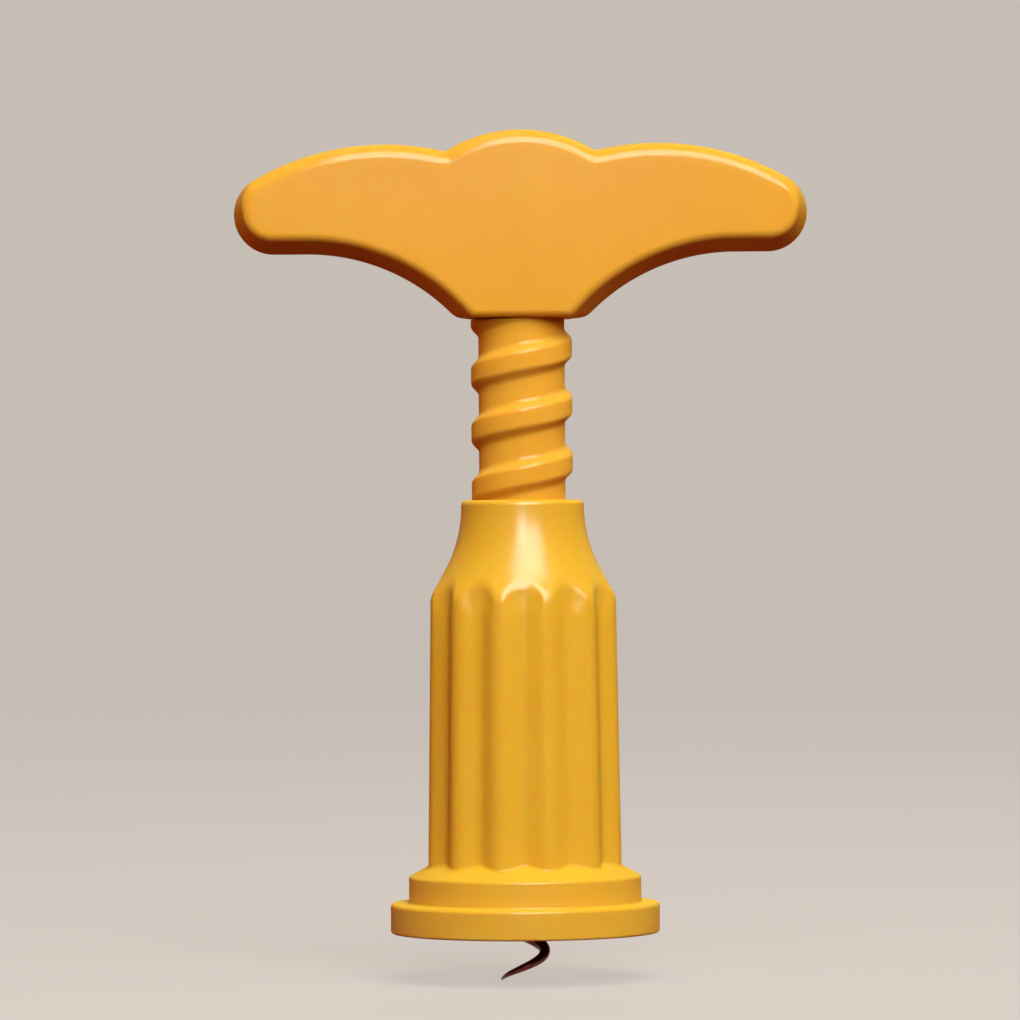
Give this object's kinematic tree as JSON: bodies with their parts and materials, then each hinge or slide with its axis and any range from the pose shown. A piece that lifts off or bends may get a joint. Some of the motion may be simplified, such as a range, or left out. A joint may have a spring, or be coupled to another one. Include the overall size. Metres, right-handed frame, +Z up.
{
  "type": "bell corkscrew",
  "caption": "Amber plastic bell corkscrew: a winged T-handle turns a coarse threaded spindle and steel worm through a fluted bell that seats on the bottle.",
  "frame": {"origin": "centre of the bell's annular base face, on the axis of the spindle and worm", "axes": "+Z up the spindle's axis to the handle, X along the handle's wings, the handle's broad front face looks along -Y"},
  "size_m": [0.1032, 0.0484, 0.1531],
  "materials": {
    "amber_bell": "gloss",
    "amber_spindle": "gloss",
    "amber_handle": "gloss",
    "natural_nylon": "satin",
    "worm_steel": "satin",
    "fastener_steel": "satin"
  },
  "bodies": {
    "bell": {"bell": "amber_bell"},
    "stop_ring": {"stop_washer": "natural_nylon"},
    "screw": {"spindle": "amber_spindle", "end_bush": "natural_nylon", "worm": "worm_steel", "worm_pin": "fastener_steel", "handle_front_shell": "amber_handle", "handle_rear_shell": "amber_handle", "handle_screws": "fastener_steel"}
  },
  "joints": [
    {"name": "spindle_travel", "type": "slide", "parent": "bell", "child": "stop_ring", "axis": [0, 0, 1], "range_m": [-0.0324, 0.014]},
    {"name": "handle_turn", "type": "hinge", "parent": "stop_ring", "child": "screw", "pos_m": [0, 0, 0.06], "axis": [0, 0, 1], "range_deg": [-1132.4, 489.3]}
  ],
  "couplings": [
    {"joint": "spindle_travel", "follows": "handle_turn", "m_per_rad": 0.0016393}
  ]
}
